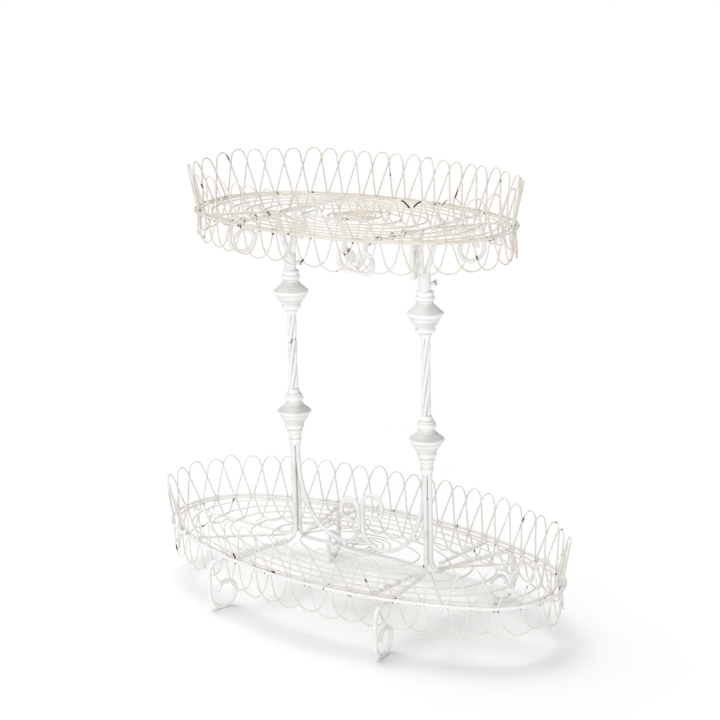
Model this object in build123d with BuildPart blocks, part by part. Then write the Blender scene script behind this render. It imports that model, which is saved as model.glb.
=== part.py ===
# Two-tier oval wire basket of bent iron rod and wire.
# Millimetres and degrees. +X runs along the ovals, -Y is the front, +Z is up, and z = 0 is the ground.
import os
from math import asin, atan2, cos, degrees, pi, radians, sin, sqrt, tan

from build123d import *

# Stock and fits
clearance = 0.3  # between two wires or bars that are seated on each other
loop_clearance = 1.2  # between the two layers of loops
wire = 2.3  # wire of the loops
ring_wire = 2.4  # wire of the floor rings and rosettes
inner_rim_wire = 3.0
leg_rod = 7.0  # legs, arms and braces
cross_rod = 5.5  # straight bars under the floors
diagonal_rod = 3.8

# Lower tier: outline of the outer rim's centre line, and its height
lower_rim_rod = 5.0
lower_half_length = 350.0
lower_half_width = 166.0
lower_end_radius = 110.0
lower_rim_height = 90.6
lower_back_loops = 27  # the loops stand closer along the back
lower_front_loops = 23
lower_loop_rise = 66.0
lower_loop_drop = 44.0
lower_diagonal_turn = 68.0  # where the diagonal bars meet the rim, as the angle of its normal

# Upper tier
upper_rim_rod = 3.6
upper_half_length = 265.0
upper_half_width = 153.0
upper_end_radius = 127.0
upper_rim_height = 596.5
upper_rim_rise = 71.5  # above the sockets' mouths
upper_back_loops = 24
upper_front_loops = 20
upper_back_loop_rise = 66.0
upper_front_loop_rise = 62.0
upper_loop_drop = 44.0
upper_loop_lift = 4.5  # the loops sit that much higher on the rim at its left end
upper_diagonal_turn = 58.0

# Loops: egg-shaped hoops, each reaching almost to the middle of the next
loop_half_width_share = 0.92  # of the spacing of the loops
loop_lean = 14.0  # above the rim the hoops lean out
loop_hang = 5.0  # below it they lean out a little too
loop_bend_radius = 6.0  # where they bend, level with the rim
loop_lift_share = 0.25  # of a tier's lift, left at the middle of its length
loop_crown_share = 0.36  # radius of the top arc, of the spacing
loop_crown_turn = 50.0
loop_lean_share = 0.66  # slope of the legs above the rim, of half the hoop's width over its rise
loop_foot_lean = 17.0  # below the rim
loop_waist_share = 0.75  # radius where the hoop is widest, of the spacing

# Floors: rings of the rims' own oval, round a spiral
ring_length_shares = (0.89, 0.78, 0.675, 0.565, 0.455, 0.30)
ring_width_shares = (0.89, 0.785, 0.68, 0.57, 0.46, 0.35)
rosette_start_share = 0.054  # radius where it starts, of the oval's half width
rosette_spacing_share = 0.0602
rosette_half_turns = 8
rosette_shift_share = 0.0602  # its centre lies behind the long middle line
cross_bar_start = 28.0  # from the middle line, on the lower tier
diagonal_start = 17.0  # from the column's axis

# Columns
column_place = 127.0  # each side of the point halfway between the columns
column_shift = 4.5  # that point's distance from the lower oval's middle
collar_height = 11.0
collar_bottom = 231.0
lower_bead_height = 77.0
lower_bead_radius = 26.4
shaft_rod = 5.8
shaft_lay = 160.0  # one full turn of the twist
upper_bead_height = 66.0
upper_bead_radius = 27.0
socket_height = 23.0
socket_radius = 9.0
socket_wall = 2.0
peg_head_height = 3.6

# Turned profiles, from the bottom up: shares of the bead's height and of its greatest radius
collar_shares = ((0.0, 0.9), (0.35, 1.0), (0.86, 1.14), (0.86, 1.0), (1.0, 1.0))
lower_bead_foot_shares = (
    (0.0, 0.36), (0.08, 0.36), (0.11, 0.44), (0.155, 0.45), (0.175, 0.40),
    (0.20, 0.52), (0.24, 0.555), (0.28, 0.52), (0.295, 0.48),
)
lower_bead_crown_shares = (
    (0.475, 0.86), (0.525, 0.985), (0.54, 1.0), (0.557, 0.985), (0.60, 0.82), (0.665, 0.59),
    (0.72, 0.45), (0.742, 0.42), (0.765, 0.49), (0.79, 0.54), (0.82, 0.555), (0.85, 0.53),
    (0.867, 0.47), (0.895, 0.47), (0.905, 0.40), (0.96, 0.33), (1.0, 0.30),
)
lower_bead_ring_shares = (0.295, 0.445, 0.48, 0.79)  # the ringed cone: from and to height, radius
upper_bead_foot_shares = (
    (0.0, 0.33), (0.06, 0.33), (0.10, 0.42), (0.115, 0.50), (0.155, 0.56), (0.20, 0.52), (0.22, 0.48),
)
upper_bead_crown_shares = (
    (0.43, 0.86), (0.495, 0.985), (0.515, 1.0), (0.535, 0.985), (0.60, 0.80), (0.68, 0.59),
    (0.75, 0.44), (0.785, 0.42), (0.80, 0.46), (0.83, 0.54), (0.86, 0.55), (0.89, 0.51), (0.905, 0.46),
    (0.925, 0.49), (0.96, 0.50), (1.0, 0.46),
)
upper_bead_ring_shares = (0.22, 0.385, 0.48, 0.79)
bead_ring_count = 5
bead_groove_share = 0.90  # how deep the grooves between the rings go

# Lower legs: out under the rim and down into a scroll that is the foot
front_leg_crossing = 158.5  # where the legs pass under the rim, each side of its middle
back_leg_crossing = 168.0
leg_run_height = 78.5
leg_bend_radius = 20.0
leg_reach = 158.4  # outer side of the scroll, from the leg's own upright
foot_shoulder_radius = 20.0
foot_ring_radius = 23.0
foot_curl_radius = 16.0
foot_flat = 0.5  # ground off where the foot stands

# Upper legs: the same scrolls, smaller, hanging under the upper floor
scroll_turn = 61.0
scroll_reach = 89.4
scroll_shoulder_radius = 16.0
scroll_ring_radius = 19.0
scroll_ring_drop = 39.5  # below the upper rim
scroll_curl_radius = 13.5
splay_bend_radius = 12.0
splay_lean = 18.0
splay_top_radius = 14.0
arm_top_radius = 21.0

# Lower brace: a swag from column to column that rises into two rings
swag_upper_radius = 163.0
swag_upper_turn = 30.0
swag_lower_radius = 76.0
left_brace_stem = 22.5  # the left rod stands lower than the right one
right_brace_stem = 33.5
left_brace_ring_radius = 17.0
right_brace_ring_radius = 19.0
brace_curl_closing = 1.5  # the ring's second half turns that much tighter
brace_curl_turn = 120.0
half_turn = 180.0
quarter_turn = 90.0

# Upper brace: two rods that drop from the floor, cross, and curl into rings
drop_bend_radius = 25.0
drop_place = 17.0  # the hanging rods, each side of the middle
drop_length = 13.7
drop_sweep_radius = 38.0
drop_ring_radius = 15.5
drop_ring_turn = 275.0

# Wing screws in the sockets
screw_turn = 35.0  # the direction they stick out, from +X
screw_radius = 2.0
screw_hub_radius = 2.8
screw_hub_length = 4.5
screw_neck = 3.2  # bare shank between socket and hub
screw_wing_span = 10.4
screw_wing_radius = 2.5
screw_wing_reach = 6.0
screw_wing_thickness = 1.8
screw_drop = 11.0  # below the socket's mouth

# Places worked out from the sizes above
bundle_offset = (leg_rod + clearance) / sqrt(2)
bundle_radius = bundle_offset + leg_rod / 2
shaft_offset = (shaft_rod + clearance) / sqrt(2)
loop_bend_room = loop_bend_radius * tan(radians((loop_lean + loop_hang) / 2))
lower_bar_top = lower_rim_height - lower_rim_rod / 2 - clearance
upper_bar_top = upper_rim_height - upper_rim_rod / 2 - clearance
lower_bead_bottom = collar_bottom + collar_height
shaft_bottom = lower_bead_bottom + lower_bead_height
socket_top = upper_rim_height - upper_rim_rise
socket_bottom = socket_top - socket_height
upper_bead_bottom = socket_bottom - upper_bead_height
shaft_length = upper_bead_bottom - shaft_bottom
shaft_lean = atan2(2 * pi * shaft_offset, shaft_lay)
shaft_end_room = shaft_rod / 2 * sin(shaft_lean)  # the rods' square-cut ends stand at a slant
bore_radius = socket_radius - socket_wall
peg_head_bottom = socket_top + clearance
peg_head_top = peg_head_bottom + peg_head_height
swag_height = lower_bar_top + clearance + ring_wire + clearance + leg_rod / 2
sides = {"left": -1, "right": 1}
faces = {"front": -1, "back": 1}
column_x = {side: column_shift + side * column_place for side in sides.values()}


class Oval:
    """Four tangent arcs: one radius round each end, and a larger one along each side."""

    def __init__(self, half_length, half_width, end_radius):
        self.half_length = half_length
        self.half_width = half_width
        self.end_radius = end_radius
        self.end_centre = half_length - end_radius
        reach = self.end_centre**2 + half_width**2 - end_radius**2
        self.side_radius = reach / (2 * (half_width - end_radius))
        self.side_centre = self.side_radius - half_width
        self.joint = atan2(self.side_centre, self.end_centre)
        self.quarter = end_radius * self.joint + self.side_radius * (pi / 2 - self.joint)

    def inset(self, distance):
        return Oval(self.half_length - distance, self.half_width - distance, self.end_radius - distance)

    def scaled(self, length_share, width_share):
        return Oval(
            self.half_length * length_share, self.half_width * width_share, self.end_radius * width_share
        )

    def normal(self, distance):
        """The outward normal's angle, in radians, at a distance along the rim from its +X end."""
        quarters, rest = divmod(distance, self.quarter)
        along = rest if quarters % 2 == 0 else self.quarter - rest
        end_arc = self.end_radius * self.joint
        if along <= end_arc:
            angle = along / self.end_radius
        else:
            angle = self.joint + (along - end_arc) / self.side_radius
        return quarters * pi / 2 + angle if quarters % 2 == 0 else (quarters + 1) * pi / 2 - angle

    def point(self, normal):
        """The point of the oval whose outward normal has this angle, in radians."""
        if abs(sin(normal)) <= sin(self.joint):
            centre_x = self.end_centre if cos(normal) > 0 else -self.end_centre
            return centre_x + self.end_radius * cos(normal), self.end_radius * sin(normal)
        centre_y = -self.side_centre if sin(normal) > 0 else self.side_centre
        return self.side_radius * cos(normal), centre_y + self.side_radius * sin(normal)

    def width_at(self, x):
        """Half the width of the oval at a place along its long sides."""
        return self.side_radius * cos(asin(x / self.side_radius)) - self.side_centre

    def path(self, height):
        joint = degrees(self.joint)
        end_arc = 2 * joint
        side_arc = half_turn - end_arc
        with BuildLine(Plane.XY.offset(height)) as outline:
            CenterArc((self.end_centre, 0), self.end_radius, -joint, end_arc)
            CenterArc((0, -self.side_centre), self.side_radius, joint, side_arc)
            CenterArc((-self.end_centre, 0), self.end_radius, half_turn - joint, end_arc)
            CenterArc((0, self.side_centre), self.side_radius, half_turn + joint, side_arc)
        return outline.wire()


def rod(path, diameter):
    """Round stock of one diameter along a path of tangent runs and bends."""
    with BuildPart() as bar:
        with BuildSketch(Plane(origin=path @ 0, z_dir=path % 0)):
            Circle(diameter / 2)
        sweep(path=path)
    return bar.part


def follow(plane, here, ahead, moves):
    """Runs and bends in a plane. A move is (length, 0) for a run, or (radius, turn) for a bend."""
    stretches = []
    with BuildLine(plane):
        for size, turn in moves:
            if turn == 0:
                stretch = Line(here, here + ahead * size)
            else:
                stretch = JernArc(here, ahead, size, turn)
            here = stretch @ 1
            ahead = stretch % 1
            stretches.append(stretch)
    return stretches


def bent_path(plane, start, heading, moves):
    ahead = plane.x_dir * cos(radians(heading)) + plane.y_dir * sin(radians(heading))
    return Wire(follow(plane, plane.from_local_coords(start), ahead, moves))


def upright_plane(x, y, direction):
    """A standing plane through (x, y): its own x runs out along the direction, its y runs up."""
    out = Vector(cos(radians(direction)), sin(radians(direction)), 0)
    return Plane(origin=(x, y, 0), x_dir=out, z_dir=out.cross(Vector(0, 0, 1)))


def straight_bar(start, end, diameter):
    with BuildLine() as line:
        Line(start, end)
    return rod(line.wire(), diameter)


def solve_pair(first, second):
    """The two unknowns of a*u + b*v = c, given as (a, b, c) twice."""
    a, b, c = first
    d, e, f = second
    scale = a * e - b * d
    return (c * e - b * f) / scale, (a * f - c * d) / scale


def hoop_moves(half_width, spacing, rise, drop):
    """The right half of the egg shape, down from its top and down from the rim."""
    crown = loop_crown_share * spacing
    waist = loop_waist_share * spacing
    crown_turn = radians(loop_crown_turn)
    leg_lean = degrees(atan2(loop_lean_share * half_width, rise))
    leg = radians(quarter_turn - leg_lean)
    foot = radians(quarter_turn + loop_foot_lean)
    across = half_width - crown * sin(crown_turn) - waist * (1 - sin(leg))
    down = rise - crown * (1 - cos(crown_turn)) - waist * cos(leg)
    shoulder, leg_run = solve_pair(
        (sin(leg) - sin(crown_turn), cos(leg), across),
        (cos(crown_turn) - cos(leg), sin(leg), down),
    )
    foot_across = half_width - waist * (1 - sin(foot))
    foot_down = drop + waist * cos(foot)
    foot_run, foot_radius = solve_pair(
        (-cos(foot), sin(foot), foot_across),
        (sin(foot), 1 + cos(foot), foot_down),
    )
    above = [
        (crown, -loop_crown_turn),
        (shoulder, loop_crown_turn + leg_lean - quarter_turn),
        (leg_run, 0),
        (waist, -leg_lean),
    ]
    below = [(waist, -loop_foot_lean), (foot_run, 0), (foot_radius, loop_foot_lean - quarter_turn)]
    return above, below


def loop_distance(rim, back_loops, front_loops, place):
    """How far along the rim a place is that is counted in loops: from the +X end, the back first."""
    laps, rest = divmod(place, back_loops + front_loops)
    halves = rest / back_loops if rest <= back_loops else 1 + (rest - back_loops) / front_loops
    return 2 * rim.quarter * (2 * laps + halves)


def layer_inset(rim_rod, layer):
    """How far inside the rim's centre line a layer of loops stands. Layer 0 is the outer one."""
    outer_inset = rim_rod / 2 + clearance + wire / 2
    return outer_inset + layer * (wire + loop_clearance)


def inner_rim_of(rim, rim_rod):
    return rim.inset(layer_inset(rim_rod, 1) + wire / 2 + clearance + inner_rim_wire / 2)


def lean_out(out, angle):
    """The upward direction of a plane that leans out by an angle."""
    return out * sin(radians(angle)) + Vector(0, 0, 1) * cos(radians(angle))


def hoop(first, last, spacing, rise, drop):
    """A closed egg-shaped hoop that bends where it is widest, level with the rim."""
    chord = (first - last).normalized()
    out = chord.cross(Vector(0, 0, -1))
    middle = (first + last) / 2
    upward = lean_out(out, loop_lean)
    hanging = lean_out(out, -loop_hang)
    upper_plane = Plane(origin=middle, x_dir=chord, z_dir=chord.cross(upward))
    lower_plane = Plane(origin=middle, x_dir=chord, z_dir=chord.cross(hanging))
    side_plane = Plane(origin=middle, x_dir=out, z_dir=chord)
    half_width = (first - last).length / 2
    above, below = hoop_moves(half_width, spacing, rise - loop_bend_room, drop - loop_bend_room)
    bend = loop_lean + loop_hang
    path = follow(upper_plane, middle + upward * rise, chord, above)
    for plane, moves in (
        (side_plane, [(loop_bend_radius, bend)]),
        (lower_plane, below + below[::-1]),
        (side_plane, [(loop_bend_radius, -bend)]),
        (upper_plane, above[::-1]),
    ):
        path = path + follow(plane, path[-1] @ 1, path[-1] % 1, moves)
    return rod(Wire(path), wire)


def hoops(rim, rim_rod, height, loops, layer):
    """Every second hoop of a tier. Each stands on the chord between its two places on the rim."""
    back_loops, front_loops, back_rise, front_rise, drop, left_lift = loops
    inset = rim.inset(layer_inset(rim_rod, layer))
    hoops_made = []
    for place in range(layer, back_loops + front_loops, 2):
        start = loop_distance(rim, back_loops, front_loops, place + 1 / 2 - loop_half_width_share)
        finish = loop_distance(rim, back_loops, front_loops, place + 1 / 2 + loop_half_width_share)
        spacing = (finish - start) / (2 * loop_half_width_share)
        first = Vector(*inset.point(rim.normal(start)), height)
        last = Vector(*inset.point(rim.normal(finish)), height)
        rise = back_rise if place < back_loops else front_rise
        middle_x = (first.X + last.X) / 2
        lift = left_lift * max(0, loop_lift_share - (1 - loop_lift_share) * middle_x / rim.half_length)
        hoops_made.append(hoop(first, last, spacing, rise + lift, drop - lift))
    return hoops_made


def rosette(rim, height):
    """A flat spiral of half turns that grow by half its spacing."""
    spacing = rosette_spacing_share * rim.half_width
    centre_y = rosette_shift_share * rim.half_width
    with BuildLine(Plane.XY.offset(height)) as spiral:
        for step in range(rosette_half_turns):
            radius = rosette_start_share * rim.half_width + step * spacing / 2
            side = step % 2
            centre_x = (1 / 2 - side) * spacing / 2
            CenterArc((centre_x, centre_y), radius, side * half_turn, half_turn)
    return rod(spiral.wire(), ring_wire)


def turned(foot, rings, crown, height, radius):
    """A turned bead: a foot, a cone of fine rings, and a crown, all as shares of its size."""
    low, high, thin, thick = rings
    step = (high - low) / bead_ring_count
    growth = (thick - thin) / bead_ring_count
    cone = []
    for ring in range(bead_ring_count):
        edge = thin + growth * (ring + 1)
        cone.append((low + step * ring, edge * bead_groove_share))
        cone.append((low + step * (ring + 1 / 4), edge))
        cone.append((low + step * (ring + 1), edge))
    return turned_profile(foot[:-1] + tuple(cone) + crown, height, radius)


def turned_profile(shares, height, radius):
    with BuildPart() as piece:
        with BuildSketch(Plane.XZ):
            with BuildLine():
                Polyline((0, 0), *[(r * radius, h * height) for h, r in shares], (0, height), close=True)
            make_face()
        revolve(axis=Axis.Z)
    return piece.part


def moved(piece, x, y, z):
    return piece.moved(Location((x, y, z)))


nodes = {}


def keep(name, pieces):
    """One named node, of one solid or a group of separate ones."""
    with BuildPart() as node:
        add(pieces)
    node.part.label = name
    nodes[name] = node.part


def make_tier(name, rim, rim_rod, height, loops):
    """What both tiers share: two rims, the hoops between them, and the floor of rings."""
    bar_top = height - rim_rod / 2 - clearance
    ring_height = bar_top + clearance + ring_wire / 2
    inner_height = bar_top + clearance + inner_rim_wire / 2
    keep(f"{name}_outer_rim", rod(rim.path(height), rim_rod))
    keep(f"{name}_inner_rim", rod(inner_rim_of(rim, rim_rod).path(inner_height), inner_rim_wire))
    keep(f"{name}_loops_outer", hoops(rim, rim_rod, height, loops, 0))
    keep(f"{name}_loops_inner", hoops(rim, rim_rod, height, loops, 1))
    shares = zip(ring_length_shares, ring_width_shares)
    rings = [rod(rim.scaled(*share).path(ring_height), ring_wire) for share in shares]
    keep(f"{name}_floor_rings", rings)
    keep(f"{name}_rosette", rosette(rim, ring_height))


def diagonal_bars(inner_rim, turn, bar_top):
    """Thin bars from near each column out to the rim, four to a tier."""
    rim_x, rim_y = inner_rim.point(radians(turn))
    level = bar_top - diagonal_rod / 2
    bars = []
    for side in sides.values():
        for face in faces.values():
            column = Vector(column_x[side], 0, level)
            end = Vector(side * rim_x, face * rim_y, level)
            start = column + (end - column).normalized() * diagonal_start
            bars.append(straight_bar(start, end, diagonal_rod))
    return bars


lower_rim = Oval(lower_half_length, lower_half_width, lower_end_radius)
upper_rim = Oval(upper_half_length, upper_half_width, upper_end_radius)
lower_inner_rim = inner_rim_of(lower_rim, lower_rim_rod)
upper_inner_rim = inner_rim_of(upper_rim, upper_rim_rod)
lower_loops = (lower_back_loops, lower_front_loops, lower_loop_rise, lower_loop_rise, lower_loop_drop, 0)
upper_loops = (
    upper_back_loops, upper_front_loops, upper_back_loop_rise, upper_front_loop_rise, upper_loop_drop,
    upper_loop_lift,
)
make_tier("lower", lower_rim, lower_rim_rod, lower_rim_height, lower_loops)
make_tier("upper", upper_rim, upper_rim_rod, upper_rim_height, upper_loops)

# Straight bars under the floors
lower_bar_level = lower_bar_top - cross_rod / 2
upper_bar_level = upper_bar_top - cross_rod / 2
centre_bar_room = bundle_radius + clearance
centre_bar_start = (column_x[-1] + centre_bar_room, 0, lower_bar_level)
centre_bar_end = (column_x[1] - centre_bar_room, 0, lower_bar_level)
keep("lower_centre_bar", straight_bar(centre_bar_start, centre_bar_end, cross_rod))
lower_cross_bars = []
upper_cross_bars = []
for x in column_x.values():
    lower_end = lower_inner_rim.width_at(x)
    upper_end = upper_inner_rim.width_at(x)
    for face in faces.values():
        start = (x, face * cross_bar_start, lower_bar_level)
        lower_cross_bars.append(straight_bar(start, (x, face * lower_end, lower_bar_level), cross_rod))
    start = (x, -upper_end, upper_bar_level)
    upper_cross_bars.append(straight_bar(start, (x, upper_end, upper_bar_level), cross_rod))
keep("lower_cross_bars", lower_cross_bars)
keep("upper_cross_bars", upper_cross_bars)
keep("lower_diagonal_bars", diagonal_bars(lower_inner_rim, lower_diagonal_turn, lower_bar_top))
keep("upper_diagonal_bars", diagonal_bars(upper_inner_rim, upper_diagonal_turn, upper_bar_top))

# Lower legs, with the flat that each foot stands on
foot_ring_height = foot_ring_radius + leg_rod / 2 - foot_flat
for side_name, side in sides.items():
    for face_name, face in faces.items():
        crossing = back_leg_crossing if face > 0 else front_leg_crossing
        run_out = lower_rim.width_at(crossing) - bundle_offset
        direction = degrees(atan2(run_out, side * crossing - column_x[side]))
        plane = upright_plane(column_x[side], face * bundle_offset, face * direction)
        leg_moves = [
            (collar_bottom - leg_run_height - leg_bend_radius, 0),
            (leg_bend_radius, quarter_turn),
            (leg_reach - leg_bend_radius - foot_shoulder_radius, 0),
            (foot_shoulder_radius, -quarter_turn),
            (leg_run_height - foot_shoulder_radius - foot_ring_height, 0),
            (foot_ring_radius, -half_turn),
            (foot_curl_radius, -half_turn),
        ]
        leg = rod(bent_path(plane, (0, collar_bottom), -quarter_turn, leg_moves), leg_rod)
        with BuildPart() as standing_leg:
            add(leg)
            split(bisect_by=Plane.XY, keep=Keep.TOP)
        keep(f"lower_leg_{face_name}_{side_name}", standing_leg.part)

# Lower arms: the fourth rod of each bundle, bent out along the middle line to the end of the oval
lower_arm_level = lower_bar_top - leg_rod / 2
for side_name, side in sides.items():
    arm_start = side * column_x[side] + bundle_offset
    plane = upright_plane(side * arm_start, 0, 0 if side > 0 else half_turn)
    arm_moves = [
        (collar_bottom - lower_arm_level - leg_bend_radius, 0),
        (leg_bend_radius, quarter_turn),
        (lower_half_length - arm_start - leg_bend_radius, 0),
    ]
    keep(
        f"lower_arm_{side_name}",
        rod(bent_path(plane, (0, collar_bottom), -quarter_turn, arm_moves), leg_rod),
    )

# Lower braces: down from the column in a swag to the floor, up beside each other, and over in a ring
brace_reach = column_place - bundle_offset
swag_lower_turn = quarter_turn - swag_upper_turn
swag_fall = swag_upper_radius * sin(radians(swag_upper_turn)) + swag_lower_radius * (
    1 - sin(radians(swag_upper_turn))
)
swag_run = swag_upper_radius * (1 - cos(radians(swag_upper_turn))) + swag_lower_radius * cos(
    radians(swag_upper_turn)
)
rise_radius = brace_reach - swag_run - leg_rod / 2 - clearance
for side_name, side in sides.items():
    plane = upright_plane(column_shift + side * brace_reach, 0, half_turn if side > 0 else 0)
    stem = right_brace_stem if side > 0 else left_brace_stem
    ring_radius = right_brace_ring_radius if side > 0 else left_brace_ring_radius
    brace_moves = [
        (collar_bottom - swag_height - swag_fall, 0),
        (swag_upper_radius, swag_upper_turn),
        (swag_lower_radius, swag_lower_turn),
        (rise_radius, quarter_turn),
        (stem, 0),
        (ring_radius, half_turn),
        (ring_radius - brace_curl_closing, brace_curl_turn),
    ]
    keep(
        f"lower_brace_{side_name}",
        rod(bent_path(plane, (0, collar_bottom), -quarter_turn, brace_moves), leg_rod),
    )

# Columns: collar, bead, a shaft of four twisted rods, and the upper bead
collar = turned_profile(collar_shares, collar_height, bundle_radius)
lower_bead = turned(
    lower_bead_foot_shares, lower_bead_ring_shares, lower_bead_crown_shares, lower_bead_height,
    lower_bead_radius,
)
upper_bead = turned(
    upper_bead_foot_shares, upper_bead_ring_shares, upper_bead_crown_shares, upper_bead_height,
    upper_bead_radius,
)


def twisted_rods(x):
    """Four rods laid round each other, each a long helix about the column's axis."""
    rods = []
    for start in range(4):
        with BuildLine() as line:
            Helix(pitch=shaft_lay, height=shaft_length - 2 * shaft_end_room, radius=shaft_offset)
        strand = rod(line.wire(), shaft_rod).rotate(Axis.Z, start * quarter_turn)
        rods.append(moved(strand, x, 0, shaft_bottom + shaft_end_room))
    return rods


# Sockets: a tube with a hole in its side for the wing screw
def socket():
    with BuildPart() as tube:
        with BuildSketch():
            Circle(socket_radius)
            Circle(bore_radius, mode=Mode.SUBTRACT)
        extrude(amount=socket_height)
        with BuildSketch(upright_plane(0, 0, screw_turn + quarter_turn)):
            with Locations((0, socket_height - screw_drop)):
                Circle(screw_radius + clearance)
        extrude(amount=socket_radius + clearance, mode=Mode.SUBTRACT)
    return tube.part


# Wing screw: lies along +X, its tip at the socket's bore
def wing_screw():
    hub_start = socket_radius + screw_neck
    hub_end = hub_start + screw_hub_length
    with BuildPart() as screw:
        with BuildSketch(Plane.YZ.offset(bore_radius)):
            Circle(screw_radius)
        extrude(amount=hub_start - bore_radius)
        with BuildSketch(Plane.YZ.offset(hub_start)):
            Circle(screw_hub_radius)
        extrude(amount=screw_hub_length)
        wing_centre = screw_wing_span / 2 - screw_wing_radius
        with BuildSketch(Plane.XZ):
            for wing in (-1, 1):
                with Locations((hub_start + screw_wing_reach - screw_wing_radius, wing * wing_centre)):
                    Circle(screw_wing_radius)
                with BuildLine():
                    Polyline(
                        (hub_start, 0),
                        (hub_start + screw_wing_reach - 2 * screw_wing_radius, wing * wing_centre),
                        (hub_start + screw_wing_reach, wing * wing_centre),
                        (hub_end, 0),
                        close=True,
                    )
                make_face()
        extrude(amount=screw_wing_thickness / 2, both=True)
    return screw.part


# Pegs: a tenon that drops into the socket, under a head that carries four rods
def peg():
    with BuildPart() as pin:
        with BuildSketch(Plane.XY.offset(socket_bottom + clearance)):
            Circle(bore_radius - clearance)
        extrude(amount=socket_height)
        with BuildSketch(Plane.XY.offset(peg_head_bottom)):
            Circle(bundle_radius)
        extrude(amount=peg_head_height)
    return pin.part


for side_name, side in sides.items():
    x = column_x[side]
    keep(f"collar_{side_name}", moved(collar, x, 0, collar_bottom))
    keep(f"lower_bead_{side_name}", moved(lower_bead, x, 0, lower_bead_bottom))
    keep(f"twisted_shaft_{side_name}", twisted_rods(x))
    keep(f"upper_bead_{side_name}", moved(upper_bead, x, 0, upper_bead_bottom))
    keep(f"socket_{side_name}", moved(socket(), x, 0, socket_bottom))
    screw = wing_screw().rotate(Axis.Z, screw_turn)
    keep(f"wing_screw_{side_name}", moved(screw, x, 0, socket_top - screw_drop))
    keep(f"peg_{side_name}", moved(peg(), x, 0, 0))


def splayed(level, top_radius):
    """The start of each upper rod: up off the peg's head, leaning out, then level."""
    level_turn = quarter_turn - splay_lean
    lean = radians(splay_lean)
    rise = level - peg_head_top - splay_bend_radius * sin(lean) - top_radius * (1 - sin(lean))
    run = rise / cos(lean)
    out = splay_bend_radius * (1 - cos(lean)) + run * sin(lean) + top_radius * cos(lean)
    return [(splay_bend_radius, -splay_lean), (run, 0), (top_radius, -level_turn)], out


# Upper legs, arms and braces
upper_arm_level = upper_bar_top - leg_rod / 2
scroll_ring_height = upper_rim_height - scroll_ring_drop
scroll_run_height = upper_bar_level - cross_rod / 2 - clearance - leg_rod / 2
for side_name, side in sides.items():
    for face_name, face in faces.items():
        direction = scroll_turn if side > 0 else half_turn - scroll_turn
        plane = upright_plane(column_x[side], face * bundle_offset, face * direction)
        start_moves, start_reach = splayed(scroll_run_height, splay_top_radius)
        scroll_moves = start_moves + [
            (scroll_reach - start_reach - scroll_shoulder_radius, 0),
            (scroll_shoulder_radius, -quarter_turn),
            (scroll_run_height - scroll_shoulder_radius - scroll_ring_height, 0),
            (scroll_ring_radius, -half_turn),
            (scroll_curl_radius, -half_turn),
        ]
        keep(
            f"upper_leg_{face_name}_{side_name}",
            rod(bent_path(plane, (0, peg_head_top), quarter_turn, scroll_moves), leg_rod),
        )

    start_moves, start_reach = splayed(upper_arm_level, arm_top_radius)
    arm_start = side * column_x[side] + bundle_offset
    plane = upright_plane(side * arm_start, 0, 0 if side > 0 else half_turn)
    arm_moves = start_moves + [(upper_half_length - arm_start - start_reach, 0)]
    keep(
        f"upper_arm_{side_name}",
        rod(bent_path(plane, (0, peg_head_top), quarter_turn, arm_moves), leg_rod),
    )

    # The two braces pass each other side by side, so each plane turns a little off the middle line.
    # The left rod's plane turns forward and the right rod's back.
    skew = degrees(atan2((leg_rod + clearance) / 2, brace_reach))
    direction = half_turn - skew if side > 0 else -skew
    plane = upright_plane(column_shift + side * brace_reach, 0, direction)
    drop_run = brace_reach - start_reach - drop_place - drop_bend_radius
    brace_moves = start_moves + [
        (drop_run, 0),
        (drop_bend_radius, -quarter_turn),
        (drop_length, 0),
        (drop_sweep_radius, quarter_turn),
        (drop_ring_radius, drop_ring_turn),
    ]
    keep(
        f"upper_brace_{side_name}",
        rod(bent_path(plane, (0, peg_head_top), quarter_turn, brace_moves), leg_rod),
    )

os.makedirs("parts", exist_ok=True)
for name, part in nodes.items():
    export_step(part, f"parts/{name}.step")
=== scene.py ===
import math
import bpy
import numpy as np
from mathutils import Matrix, Vector


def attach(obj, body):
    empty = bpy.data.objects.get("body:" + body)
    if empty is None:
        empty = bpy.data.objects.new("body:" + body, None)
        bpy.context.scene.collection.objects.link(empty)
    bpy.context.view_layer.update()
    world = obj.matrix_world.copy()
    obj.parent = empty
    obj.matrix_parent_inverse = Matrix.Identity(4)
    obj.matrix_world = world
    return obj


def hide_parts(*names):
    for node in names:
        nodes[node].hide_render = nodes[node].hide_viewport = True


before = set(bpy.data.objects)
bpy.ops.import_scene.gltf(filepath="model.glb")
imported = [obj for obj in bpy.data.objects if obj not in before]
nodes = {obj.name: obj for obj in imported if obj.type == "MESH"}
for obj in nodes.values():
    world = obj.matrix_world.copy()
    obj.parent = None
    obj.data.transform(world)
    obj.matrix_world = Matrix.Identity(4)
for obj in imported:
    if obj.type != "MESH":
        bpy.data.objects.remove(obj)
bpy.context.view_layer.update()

print("frame loaded:", len(nodes), "pieces")
mm = 0.001


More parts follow.
